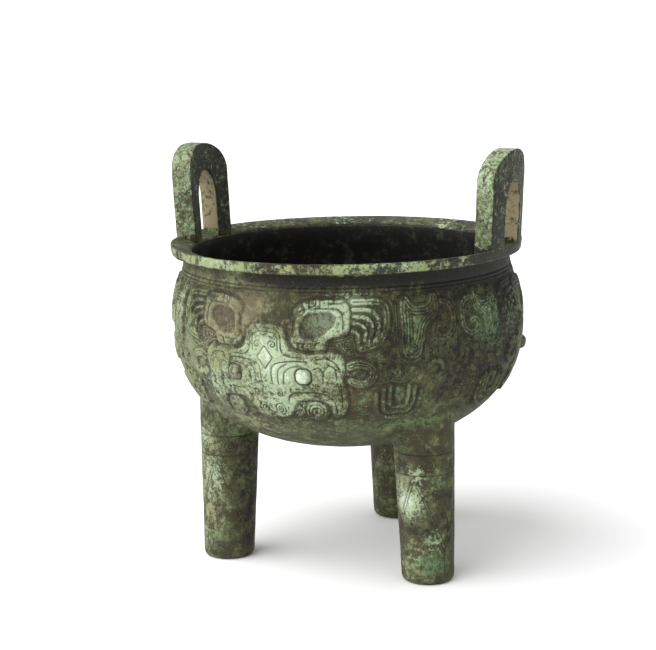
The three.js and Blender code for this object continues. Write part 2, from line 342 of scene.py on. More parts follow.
# Lines engraved on the raised shapes
LINES = [
    [(3.2, 22.4), (3, 29.5), (4.4, 33.2), (8.8, 34.8), (17, 35.8), (23, 35.4)],
    [(6.6, 22.8), (6.7, 29.5), (8.5, 32.2), (12, 34)],
    [(9.8, 22.8), (10, 28.5), (11.7, 30.8), (15, 32.6), (20, 33)],
    [(26.4, 31.7), (29.4, 32.8), (31, 29.6), (31, 24)],
    [(31.2, 27.5), (31.8, 31.8), (34.6, 34), (37.6, 31.9), (38, 26)],
    [(27.6, 36.9), (33.2, 37.6), (37.6, 35), (40, 30.5)],
    [
        (10.9, 12), (11.6, 15.6), (14, 17.8), (17, 18.5), (29.4, 18.6), (33.6, 16.8), (37, 12.6),
        (37.6, 6),
    ],
    [(0, 52.8), (5.8, 52.2), (8.5, 50.3), (9.2, 46), (9, 41.8), (10.6, 38.9), (14, 37.6), (20, 37.8)],
    [(0, 50.6), (5.4, 50.2), (7.3, 48), (7.3, 43.8), (7.4, 40.8)],
    [(2.4, 48.2), (4.8, 48), (5.6, 46.6)],
    [(18.8, 61.2), (21.6, 62.9), (29, 62.9), (34.6, 63.4), (39.4, 63), (41.6, 60), (41.6, 52.6)],
    [(24, 67), (24, 63.2)],
    [(24.6, 63.8), (27.4, 64.4), (27.6, 67)],
    [(29.8, 67), (29.8, 63.2)],
    [(34, 66), (38, 65.4), (42.4, 66)],
    [(18, 45.4), (22, 44.8), (25.4, 45.4)],
    [(21.4, 44.6), (21.2, 42)],
    [(27, 42.4), (27.6, 45.4), (30, 46)],
    [(39.6, 24), (40.6, 18), (40.4, 9)],
    [(77.6, 58), (77.6, 44)],
]
# Round spirals: column, row, turns, spacing of the turns, hand
SPIRALS = [
    (4.4, 43.8, 1.5, 1.6, 1),
    (6.8, 17.6, 1.3, 1.6, -1),
    (4.8, 8.2, 2.2, 1.7, -1),
    (26.4, 7.4, 3.4, 1.9, 1),
    (78, 40.6, 2, 1.7, 1),
    (97, 59.6, 1.5, 1.5, -1),
    (91.4, 28.8, 1.2, 1.5, 1),
    (51.6, 28.4, 1.3, 1.6, 1),
    (69.6, 29.6, 1.5, 1.6, 1),
    (78.6, 29, 1.5, 1.6, -1),
]
CURLS = [(26.4, 7.4, 6.2), (69.6, 29.6, 2.6), (78.6, 29, 2.6)]  # raised discs: column, row, radius
LOZENGE = (0, 37, 4.6, 6.2)  # column, row, half width, half height
BORDER_ROWS = [71.2, 73.2]
GROUND_ROWS = (1.5, MASK_ROWS - 2)  # the ground is engraved between these rows
BEYOND_BAND = 4  # rows past the band that the drawing still covers
CORNER_CUT = 0.22  # share of a path's side that is cut off at each end


def rounded_path(points, closed):
    """Cuts the corners of a path twice, so that its bends are soft."""
    for _ in range(2):
        ends = points[1:] + points[:1] if closed else points[1:]
        cut = []
        for (ax, ay), (bx, by) in zip(points, ends):
            for share in (CORNER_CUT, 1 - CORNER_CUT):
                cut.append((ax + share * (bx - ax), ay + share * (by - ay)))
        points = cut if closed else [points[0], *cut[1:-1], points[-1]]
    return points


def turn_distance(away, angle, spacing):
    """Distance to the nearest turn of a spiral, at distances and angles from its middle."""
    phase = (away / spacing - angle / TURN) % 1
    return np.minimum(phase, 1 - phase) * spacing


def line_section(line, relief):
    """Depth of an engraved line as a share of its full depth, at distances from its middle."""
    return np.exp(-((line / (relief.line_width / 2)) ** 2))


class Drawing:
    """Distances on the drawing grid from many points to the shapes of a mask."""

    def __init__(self, x, y):
        self.x = x
        self.y = y

    def near(self, points, reach):
        """Indices of the points within reach of a path's box."""
        xs, ys = zip(*points)
        inside = (self.x > min(xs) - reach) & (self.x < max(xs) + reach)
        inside &= (self.y > min(ys) - reach) & (self.y < max(ys) + reach)
        return np.flatnonzero(inside)

    def path_distance(self, points, which):
        """Distance to an open path."""
        x, y = self.x[which], self.y[which]
        nearest = np.full(len(which), np.inf)
        for (ax, ay), (bx, by) in zip(points, points[1:]):
            dx, dy = bx - ax, by - ay
            along = np.clip(((x - ax) * dx + (y - ay) * dy) / (dx * dx + dy * dy), 0, 1)
            nearest = np.minimum(nearest, np.hypot(x - ax - along * dx, y - ay - along * dy))
        return nearest

    def outline_distance(self, points, which):
        """Distance to a closed outline, negative inside it."""
        ring = points + points[:1]
        distance = self.path_distance(ring, which)
        x, y = self.x[which], self.y[which]
        inside = np.zeros(len(which), bool)
        for (ax, ay), (bx, by) in zip(ring, ring[1:]):
            crosses = (ay > y) != (by > y)
            if ay != by:
                inside ^= crosses & (x < ax + (y - ay) * (bx - ax) / (by - ay))
        return np.where(inside, -distance, distance)

    def spiral_distance(self, column, row, turns, spacing, hand):
        """Distance to a round spiral's line."""
        x, y = self.x - column, self.y - row
        away = np.hypot(x, y)
        gap = turn_distance(away, hand * np.arctan2(y, x), spacing)
        return np.where(away < turns * spacing, gap, np.inf)


SEARCH_REACH = 6.0  # how far from a shape its distance is worked out
GROUND_CELL = 5.2  # side of one squared spiral
SHADE_AND_DIRT_REACH = 1.5  # how far beside a raised shape the ground is darkened, with dirt and painted shade
HOLE_SHADE_AND_DIRT = 0.8  # how dark the hole of a horn is made, with dirt and painted shade
EYE_PAINTED_SHADOW = 0.9  # how dark the ring round an eye is painted: the painted shadow of the eye's boss
EYE_PAINTED_SHADOW_REACH = 0.7
CONTOURS = [1.4, 2.8]  # distances from a raised shape at which lines follow it
CONTOUR_BAND = 3.4  # nearer to a raised shape than this the ground has contours, not spirals
PLAIN_EDGE = 0.6  # the foot of a raised shape that no line of the ground touches
STEEPEST = 30  # limit of the exponent, past which a slope is 0 or 1


def squared_spirals(x, y, pitch):
    """Distance to the lines of a ground of squared spirals."""
    row = np.floor(y / GROUND_CELL)
    shifted = x / GROUND_CELL + 0.5 * (row % 2)
    column = np.floor(shifted)
    u = (shifted - column - 0.5) * GROUND_CELL * (1 - 2 * (column % 2))
    v = (y / GROUND_CELL - row - 0.5) * GROUND_CELL
    return turn_distance(np.maximum(np.abs(u), np.abs(v)), np.arctan2(v, u), pitch)


def mask_relief(column, row, relief):
    """Height of the mask drawing, how raised it is, its lines' depth, and its dirt and painted shade.
    """
    drawing = Drawing(np.abs(column), row)
    nearest = np.full(len(row), SEARCH_REACH)
    line = np.full(len(row), np.inf)

    def add_plate(distance, which, insets):
        nearest[which] = np.minimum(nearest[which], distance)
        for inset in insets:
            line[which] = np.minimum(line[which], np.abs(distance + inset))

    for points, insets in PLATES:
        outline = rounded_path(points, True)
        which = drawing.near(outline, SEARCH_REACH)
        add_plate(drawing.outline_distance(outline, which), which, insets)
    horn = rounded_path(HORN, True)
    hole = rounded_path(HORN_HOLE, True)
    which = drawing.near(horn, SEARCH_REACH)
    solid = drawing.outline_distance(horn, which)
    from_hole = drawing.outline_distance(hole, which)
    hole_points = which[from_hole < 0]
    opened = np.maximum(solid, -from_hole)
    add_plate(opened, which, [])
    for points, width, insets in BANDS:
        path = rounded_path(points, False)
        which = drawing.near(path, SEARCH_REACH)
        add_plate(drawing.path_distance(path, which) - width / 2, which, insets)
    for disc_column, disc_row, disc_radius in CURLS:
        away = np.hypot(drawing.x - disc_column, drawing.y - disc_row) - disc_radius
        nearest = np.minimum(nearest, away)
    for points in LINES:
        path = rounded_path(points, False)
        which = drawing.near(path, SEARCH_REACH)
        line[which] = np.minimum(line[which], drawing.path_distance(path, which))
    for spiral in SPIRALS:
        line = np.minimum(line, drawing.spiral_distance(*spiral))
    centre_column, centre_row, half_width, half_height = LOZENGE
    lozenge = np.abs(drawing.x - centre_column) / half_width
    lozenge = lozenge + np.abs(drawing.y - centre_row) / half_height - 1
    slant = half_width * half_height / np.hypot(half_width, half_height)
    line = np.minimum(line, np.abs(lozenge) * slant)
    for border_row in BORDER_ROWS:
        line = np.minimum(line, np.abs(drawing.y - border_row))

    corner = EYE_HALF - EYE_CORNER
    eye_x = np.maximum(np.abs(drawing.x - EYE_COLUMN) - corner, 0)
    eye_y = np.maximum(np.abs(drawing.y - EYE_ROW) - corner, 0)
    eye = np.hypot(eye_x, eye_y) - EYE_CORNER
    line = np.where(eye < EYE_MARGIN, np.inf, line)
    line = np.minimum(line, np.abs(eye - EYE_RING))

    slope = np.clip(nearest / (relief.edge / 4), -STEEPEST, STEEPEST)
    raised = 1 / (1 + np.exp(slope))
    squares = squared_spirals(drawing.x, drawing.y, relief.ground_pitch)
    contour = np.min([np.abs(nearest - away) for away in CONTOURS], axis=0)
    ground_line = np.where(nearest < CONTOUR_BAND, contour, squares)
    lowest, highest = GROUND_ROWS
    in_band = (row > lowest) & (row < highest)
    in_hole = np.zeros(len(row), bool)
    in_hole[hole_points] = True
    engraved = (nearest > PLAIN_EDGE) & in_band & ~in_hole
    ground_line = np.where(engraved, ground_line, np.inf)

    lined = (raised > 0.5) | (row > highest)
    groove = line_section(line, relief) * lined * relief.line_depth
    ground = line_section(ground_line, relief) * relief.ground_depth
    dome = np.clip(-eye / EYE_HALF, 0, 1)
    boss = relief.eye_rise * np.sqrt(dome * (2 - dome))
    carved = np.maximum(groove, ground)
    # Dirt and painted shade on the ground beside raised shapes and in the horn's hole
    hollow = np.exp(-((nearest / SHADE_AND_DIRT_REACH) ** 2)) * (raised < 0.5)
    hollow = np.where(in_hole & (raised < 0.5), HOLE_SHADE_AND_DIRT, hollow)
    # A painted shadow of the eye's boss, in a ring round it
    eye_painted_shadow = EYE_PAINTED_SHADOW * np.exp(-(((eye - EYE_RING) / EYE_PAINTED_SHADOW_REACH) ** 2))
    hollow = np.maximum(hollow, eye_painted_shadow)
    return raised * relief.relief + boss, raised, carved, hollow


class Band:
    """The relief band round the belly."""

    def __init__(self, bowl, relief):
        self.bowl = bowl
        self.relief = relief
        self.top = bowl.lip_underside - relief.drop
        self.bottom = self.top - relief.height

    def grid(self, azimuth, height):
        """Column and row of places on the wall."""
        offset = (azimuth + SECTOR / 2) % SECTOR - SECTOR / 2 + self.relief.drift
        side = np.where(offset > 0, 1, -1)
        column = offset * MASK_COLUMNS / (SECTOR / 2 + side * self.relief.drift)
        row = (height - self.bottom) * MASK_ROWS / self.relief.height
        return column, row

    def at(self, azimuth, height):
        """The relief at places on the wall, as mask_relief gives it."""
        column, row = self.grid(azimuth, height)
        used = np.flatnonzero((row > -BEYOND_BAND) & (row < MASK_ROWS + BEYOND_BAND))
        parts = np.zeros((4, len(row)))
        parts[:, used] = mask_relief(column[used], row[used], self.relief)
        return parts


# Unevenness and wear

NOISE_SIDE = 32
NOISE = np.random.default_rng(11).random((NOISE_SIDE,) * 3)


def lattice_noise(points, size):
    """Smooth noise from 0 to 1 with lumps of about that size."""
    place = points / size
    cell = np.floor(place).astype(int)
    part = place - cell
    part = part * part * (3 - 2 * part)
    total = np.zeros(len(points))
    for corner in np.ndindex(2, 2, 2):
        weight = np.prod(np.where(corner, part, 1 - part), axis=1)
        spot = (cell + corner) % NOISE_SIDE
        total += weight * NOISE[spot[:, 0], spot[:, 1], spot[:, 2]]
    return total


def patches(azimuth, height, places):
    """Adds up soft patches: azimuth, height, half width in degrees, half height, strength."""
    total = np.zeros(len(height))
    for patch_azimuth, patch_height, half_width, half_height, strength in places:
        across = wrapped_degrees(azimuth - patch_azimuth) / half_width
        up = (height - patch_height) / half_height
        total += strength * np.exp(-(across**2) - up**2)
    return total


# Lumps of the surface: size, shift of their noise, share of the roughness, share where crust is thick
LUMPS = [(21, 0, 1.6, 0), (6.5, 40, 1.3, 1.3), (2.3, 90, 0.9, 0.9)]
# Where the crust is thick: azimuth, height, half width in degrees, half height, strength
CRUSTED = [
    (-18, 124, 13, 16, 2.2),
    (-34, 112, 14, 14, 1.2),
    (44, 128, 10, 10, 1.0),
    (150, 130, 20, 20, 1.2),
]


def unevenness(points, amount):
    """How far the corroded surface lies above or below its even form."""
    thick = patches(azimuth_of(points), points[:, 2], CRUSTED)
    total = np.zeros(len(points))
    for size, shift, even_share, thick_share in LUMPS:
        total += (even_share + thick_share * thick) * (lattice_noise(points + shift, size) - 0.5)
    return amount * total


# Where the surface is worn: azimuth, height, half width in degrees, half height, share lost
WORN = [
    (50, 122, 9, 24, 0.75),
    (-20, 122, 12, 16, 0.6),
    (28, 118, 6, 14, 0.6),
    (-8, 160, 10, 14, 0.7),
    (-34, 128, 12, 16, 0.35),
    (84, 120, 9, 22, 0.5),
    (172, 118, 12, 22, 0.5),
    (-100, 150, 10, 20, 0.5),
]
WEAR_SIZE = 17  # lumps of the wear that is everywhere
WEAR_SHIFT = 200  # of its noise
LEAST_SHARPNESS = 0.12


def sharpness(points):
    """How much is left of the engraved lines, up to 1."""
    worn = patches(azimuth_of(points), points[:, 2], WORN)
    worn += np.clip(lattice_noise(points + WEAR_SHIFT, WEAR_SIZE) - 0.5, 0, 1)
    return np.clip(1 - worn, LEAST_SHARPNESS, 1)


# Mesh tools


def get_points(mesh):
    points = np.empty(len(mesh.vertices) * 3)
    mesh.vertices.foreach_get("co", points)
    return points.reshape(-1, 3)


def set_points(mesh, points):
    mesh.vertices.foreach_set("co", points.ravel())
    mesh.update()


def normals_of(mesh):
    normals = np.empty(len(mesh.vertices) * 3)
    mesh.vertex_normals.foreach_get("vector", normals)
    return normals.reshape(-1, 3)


def from_axis(points):
    """How far points are from the upright axis, and the way outward from it."""
    distance = np.hypot(points[:, 0], points[:, 1])
    return distance, points[:, :2] / np.maximum(distance, 1)[:, None]


def add_object(name, mesh):
    thing = bpy.data.objects.new(name, mesh)
    bpy.context.collection.objects.link(thing)
    return thing


def to_object(bm, name):
    mesh = bpy.data.meshes.new(name)
    bm.to_mesh(mesh)
    bm.free()
    return add_object(name, mesh)


def turned(name, section, steps, cuts=0):
    """Spins a half section, given as radius and height, a full turn about the upright axis.

    Each step is then cut again, and the new points are moved out from the chord to the circle.
    """
    bm = bmesh.new()
    verts = [bm.verts.new((0, -radius, height)) for radius, height in section]
    edges = [bm.edges.new(pair) for pair in zip(verts, verts[1:])]
    bmesh.ops.spin(
        bm,
        geom=verts + edges,
        cent=(0, 0, 0),
        axis=(0, 0, 1),
        angle=TURN,
        steps=steps,
        use_merge=True,
        use_duplicate=False,
    )
    poles = [v for v in bm.verts if abs(v.co.x) < MM and abs(v.co.y) < MM]
    bmesh.ops.remove_doubles(bm, verts=poles, dist=MM)
    if cuts:
        rings = [e for e in bm.edges if is_level(e)]
        bmesh.ops.subdivide_edges(bm, edges=rings, cuts=cuts)
    bmesh.ops.recalc_face_normals(bm, faces=bm.faces)
    thing = to_object(bm, name)
    if cuts:
        points = get_points(thing.data)
        step = TURN / steps
        part = np.radians(azimuth_of(points)) % step - step / 2
        points[:, :2] *= (np.cos(part) / math.cos(step / 2))[:, None]
        set_points(thing.data, points)
    return thing


def is_level(edge):
    """Whether an edge runs round the axis and not along the section."""
    first, second = (vert.co for vert in edge.verts)
    return abs(first.z - second.z) < MM and abs(first.xy.length - second.xy.length) < MM


def thinned(thing, triangles):
    """Thins an object's mesh to about this many triangles, keeping its sharper forms."""
    now = sum(len(face.vertices) - 2 for face in thing.data.polygons)
    modifier = thing.modifiers.new("Thin", "DECIMATE")
    modifier.ratio = min(1, triangles / now)


def boolean(thing, other, operation):
    modifier = thing.modifiers.new(operation.title(), "BOOLEAN")
    modifier.operation = operation
    modifier.solver = "MANIFOLD"
    modifier.object = other


# Pieces of the casting

CLOSE = 1  # tolerance in telling the parts of the casting apart
STEPS_ROUND = 60
CUTS_ROUND = 24  # of each step, to give 1500 columns round the band
BAND_ROW = 0.42  # height of a row of faces in the relief band
BAND_MARGIN = 2  # how far above the band the fine rows go on
UNDERSIDE_ROWS = 33
NECK_ROWS = 7
LIP_ROWS = 5
BELOW_LIP = 0.1  # points of the wall nearer to the lip than this aren't moved
OUTSIDE_TRIANGLES = 145000
CAVITY_TRIANGLES = 12000
LEG_TRIANGLES = 11000
HANDLE_TRIANGLES = 5200


def corner_arc(before, corner, after, rounding):
    """Three points that round a corner of a section."""
    corner = np.array(corner, float)
    ends = []
    for other in (before, after):
        way = np.array(other, float) - corner
        ends.append(corner + way / np.hypot(*way) * rounding)
    middle = 0.25 * ends[0] + 0.5 * corner + 0.25 * ends[1]
    return [tuple(ends[0]), tuple(middle), tuple(ends[1])]


def make_outside(bowl, band):
    """The filled bowl with its lip and relief."""
    lowest = np.arccos((bowl.belly_level - band.bottom) / bowl.lower_height)
    angles = np.linspace(0, lowest, UNDERSIDE_ROWS + 1)
    heights = list(bowl.belly_level - bowl.lower_height * np.cos(angles))
    fine_top = band.top + BAND_MARGIN
    rows = round((fine_top - band.bottom) / BAND_ROW)
    heights += list(np.linspace(band.bottom, fine_top, rows + 1)[1:])
    heights += list(np.linspace(fine_top, bowl.lip_underside, NECK_ROWS + 1)[1:])
    radii = bowl.radius(np.array(heights))
    radii[0] = 0
    neck = (radii[-1], heights[-1])
    lower = (bowl.mouth_radius - bowl.lip_taper, bowl.lip_underside)
    upper = (bowl.mouth_radius, bowl.rim_level)
    throat = (bowl.throat_radius, bowl.rim_level - bowl.lip_fall)
    section = list(zip(radii, heights))
    section += [((neck[0] + lower[0]) / 2, lower[1])]
    section += corner_arc(neck, lower, upper, bowl.lip_rounding)
    section += [((lower[0] + upper[0]) / 2, (lower[1] + upper[1]) / 2)]
    section += corner_arc(lower, upper, throat, bowl.lip_rounding)
    for k in range(1, LIP_ROWS):
        section.append(tuple(u + (t - u) * k / LIP_ROWS for u, t in zip(upper, throat)))
    section += [throat, (0, throat[1])]
    thing = turned("outside", section, STEPS_ROUND, CUTS_ROUND)
    points = get_points(thing.data)
    distance, way = from_axis(points)
    rise, _, carved, _ = band.at(azimuth_of(points), points[:, 2])
    on_wall = (distance > CLOSE) & (points[:, 2] < bowl.lip_underside - BELOW_LIP)
    shift = np.where(on_wall, rise - carved * sharpness(points), 0)
    outward, upward = bowl.normal(points[:, 2])
    points[:, :2] += way * (shift * outward)[:, None]
    points[:, 2] += shift * upward
    set_points(thing.data, points)
    roughen(thing.data, band.relief.roughness)
    thinned(thing, OUTSIDE_TRIANGLES)
    return thing


def roughen(mesh, amount):
    points = get_points(mesh)
    points += normals_of(mesh) * unevenness(points, amount)[:, None]
    set_points(mesh, points)


CAVITY_STEPS = 64
CAVITY_CUTS = 4
CAVITY_LOWER_ROWS = 29
CAVITY_UPPER_ROWS = 13
# The worn edge of the mouth: how far outside the throat and above the mouth each point lies
MOUTH_EDGE = [(0.4, -0.9), (1.2, 0), (2.6, 0.85)]
PASS = 12  # the hollow runs on by this above the mouth, so that it cuts right through
PASS_FLARE = 4


def make_cavity(bowl, relief):
    """The hollow of the bowl, with a rounded edge at the mouth."""
    angles = np.linspace(0, math.pi / 2, CAVITY_LOWER_ROWS + 1)
    depth = bowl.lower_height - bowl.wall
    heights = list(bowl.belly_level - depth * np.cos(angles))
    top = bowl.lip_underside + CLOSE
    heights += list(np.linspace(bowl.belly_level, top, CAVITY_UPPER_ROWS + 1)[1:])
    radii = bowl.radius(np.array(heights), bowl.wall)
    radii[0] = 0
    section = list(zip(radii, heights))
    throat = bowl.throat_radius
    mouth = bowl.rim_level - bowl.lip_fall
    section += [(throat + out, mouth + up) for out, up in MOUTH_EDGE]
    section += [(throat + PASS_FLARE, mouth + PASS), (0, mouth + PASS)]
    thing = turned("cavity", section, CAVITY_STEPS, CAVITY_CUTS)
    roughen(thing.data, relief.roughness)
    thinned(thing, CAVITY_TRIANGLES)
    return thing


BLADES = 3  # round each leg
BLADE_ROUNDING = 0.06
BLADE_OVERRUN = 1  # height that a blade's lines go on above its top
BLADE_INSETS = (0.4, 2.4)  # the two lines along a blade's edge
TIP_LINE = 12  # length of the line below a blade's tip
# Spirals on a blade, from its middle line: across, below its top, turns, spacing of the turns
BLADE_SPIRALS = [(5.6, 7, 1.9, 1.8), (0, 20, 1.3, 1.6)]
BAND_SPIRAL = (2.1, 1.9)  # turns and spacing of the spirals in the band above the blades


def leg_carving(legs, around, height, radius):
    """Distance to the lines on a leg, where around is the angle from its outward side."""
    share_round = TURN / BLADES
    across = np.abs((around + share_round / 2) % share_round - share_round / 2) * radius
    widest = share_round / 2 * legs.shoulder_radius
    span = legs.blade_top - legs.blade_tip
    share = np.clip((height - legs.blade_tip) / span, 0, 1)
    half = widest * share ** (1 - BLADE_ROUNDING)
    slope = math.hypot(1, widest / span)
    line = np.full(len(height), np.inf)
    in_blade = (height > legs.blade_tip) & (height < legs.blade_top + BLADE_OVERRUN)
    for inset in BLADE_INSETS:
        line = np.where(in_blade, np.minimum(line, np.abs(across - half + inset) / slope), line)
    below = (height <= legs.blade_tip) & (height > legs.blade_tip - TIP_LINE)
    line = np.where(below, np.minimum(line, across), line)
    for level in (legs.band_bottom, legs.band_top):
        line = np.minimum(line, np.abs(height - level))
    spirals = [(across - x, legs.blade_top - y, *form) for x, y, *form in BLADE_SPIRALS]
    beside = np.abs(across - share_round / 4 * radius)
    spirals.append((beside, (legs.band_bottom + legs.band_top) / 2, *BAND_SPIRAL))
    for x, level, turns, spacing in spirals:
        away = np.hypot(x, height - level)
        gap = turn_distance(away, np.arctan2(height - level, x), spacing)
        line = np.where(away < turns * spacing, np.minimum(line, gap), line)
    return line


LEG_STEPS = 40
LEG_CUTS = 4
LEG_ROWS = 209
SOLE_ROWS = 5
SOLE_INNER = 0.5  # share of the foot's radius at which the sole has a ring of points
LEG_TOP_DROP = 25  # a leg ends inside the bowl, this far below its widest level
CLOSE_TO_SIDE = 0.5
LEG_LINE_SHARE = 0.7  # of the depth of the lines on the bowl
LEG_WEAR_SIZE = 14
LEG_WEAR_SHIFT = 60
LEG_SHARPNESS = 1.3  # of the least worn lines, before it is limited to 1
LEG_WEAR = 1.2  # how much of it the wear takes at most
LEG_LEAST_SHARPNESS = 0.25
FILLET_SHARE = 0.6  # of the fillet's height that it stands out at the bowl


def make_leg(index, legs, bowl, relief):
    """One leg as a column, leaned, moved out and let into the bowl."""
    widening = (legs.shoulder_radius - legs.foot_radius) / bowl.clearance
    section = [(0, 0), (legs.foot_radius * SOLE_INNER, 0)]
    for angle in np.linspace(0, math.pi / 2, SOLE_ROWS + 1):
        radius = legs.foot_radius - legs.sole_rounding * (1 - math.sin(angle))
        section.append((radius, legs.sole_rounding * (1 - math.cos(angle))))
    top = bowl.belly_level - LEG_TOP_DROP
    for height in np.linspace(legs.sole_rounding, top, LEG_ROWS + 1)[1:]:
        section.append((legs.foot_radius + widening * height, height))
    section.append((0, top))
    thing = turned(f"leg_{index}", section, LEG_STEPS, LEG_CUTS)
    points = get_points(thing.data)
    height = points[:, 2].copy()
    distance, way = from_axis(points)
    column = legs.foot_radius + widening * height
    on_side = (height > legs.sole_rounding) & (height < top - CLOSE)
    on_side &= distance > column - CLOSE_TO_SIDE
    around = np.arctan2(points[:, 0], -points[:, 1])
    line = leg_carving(legs, around, height, column)
    wear = lattice_noise(points + LEG_WEAR_SHIFT * index, LEG_WEAR_SIZE)
    left = np.clip(LEG_SHARPNESS - LEG_WEAR * wear, LEG_LEAST_SHARPNESS, 1)
    depth = LEG_LINE_SHARE * relief.line_depth * line_section(line, relief) * left
    out = points.copy()
    out[:, 1] += legs.lean / bowl.clearance * height - legs.circle
    gap = bowl.underside(np.hypot(out[:, 0], out[:, 1])) - height
    near = np.clip(1 - gap / legs.fillet, 0, 1) ** 2
    shift = np.where(on_side, near * legs.fillet * FILLET_SHARE - depth * (near <= 0), 0)
    out[:, :2] += way * shift[:, None]
    turn = Matrix.Rotation(math.radians(SECTOR * (index + 0.5)), 3, "Z")
    set_points(thing.data, out @ np.array(turn).T)
    points = get_points(thing.data)
    standing = np.clip(points[:, 2] / legs.sole_rounding, 0, 1)
    lift = unevenness(points, relief.roughness) * standing
    points += normals_of(thing.data) * lift[:, None]
    set_points(thing.data, points)
    thinned(thing, LEG_TRIANGLES)
    return thing


def arch_point(handle, share, across):
    """A point of a handle's face: share runs along the loop, across from its opening outward."""
    straight = handle.height - handle.arch + handle.root
    curved = math.pi / 2 * (handle.width / 2 + handle.arch)
    total = 2 * straight + curved
    along = share * total
    inner_spring = handle.opening_height - handle.opening_arch
    outer_spring = handle.height - handle.arch
    half = handle.width / 2
    inner_half = handle.opening_width / 2
    if along <= straight or along >= total - straight:
        rise = along if along <= straight else total - along
        side = 1 if along <= straight else -1
        part = rise / straight
        inner = (side * inner_half, -handle.root + part * (inner_spring + handle.root))
        outer = (side * half, -handle.root + part * (outer_spring + handle.root))
    else:
        angle = math.pi * (along - straight) / curved
        inner = (
            inner_half * math.cos(angle),
            inner_spring + handle.opening_arch * math.sin(angle),
        )
        outer = (half * math.cos(angle), outer_spring + handle.arch * math.sin(angle))
    return tuple(a + (b - a) * across for a, b in zip(inner, outer))


HANDLE_STEPS = 110
HANDLE_ACROSS = 10
HANDLE_DEEP = 8
ARRIS_ANGLE = math.radians(60)  # sharper edges than this are rounded


def make_handle(side, handle, bowl, relief):
    """An upright loop, bent to the lip's curve and leaned outward."""
    bm = bmesh.new()
    bmesh.ops.create_grid(bm, x_segments=HANDLE_STEPS, y_segments=HANDLE_ACROSS, size=1)
    for vert in bm.verts:
        x, height = arch_point(handle, (vert.co.x + 1) / 2, (vert.co.y + 1) / 2)
        vert.co = (x, 0, height)
    made = bmesh.ops.extrude_face_region(bm, geom=list(bm.faces), use_keep_orig=True)["geom"]
    moved = [part for part in made if isinstance(part, bmesh.types.BMVert)]
    bmesh.ops.translate(bm, verts=moved, vec=(0, handle.thickness, 0))
    through = [e for e in bm.edges if abs(e.verts[0].co.y - e.verts[1].co.y) > MM]
    bmesh.ops.subdivide_edges(bm, edges=through, cuts=HANDLE_DEEP - 1)
    bmesh.ops.recalc_face_normals(bm, faces=bm.faces)
    arrises = [e for e in bm.edges if e.is_manifold and e.calc_face_angle(0) > ARRIS_ANGLE]
    bmesh.ops.bevel(
        bm,
        geom=arrises,
        offset=handle.rounding,
        segments=3,
        profile=0.5,
        affect="EDGES",
        material=-1,
    )
    thing = to_object(bm, f"handle_{side}")
    points = get_points(thing.data)
    outer = bowl.mouth_radius - handle.inset
    angle = side * math.pi / 2 + points[:, 0] / outer
    radius = outer + handle.lean * points[:, 2] / handle.height - handle.thickness + points[:, 1]
    height = bowl.rim_level + points[:, 2]
    points = np.stack([radius * np.sin(angle), -radius * np.cos(angle), height], axis=1)
    set_points(thing.data, points)
    thing.data.flip_normals()
    roughen(thing.data, relief.roughness)
    thinned(thing, HANDLE_TRIANGLES)
    return thing


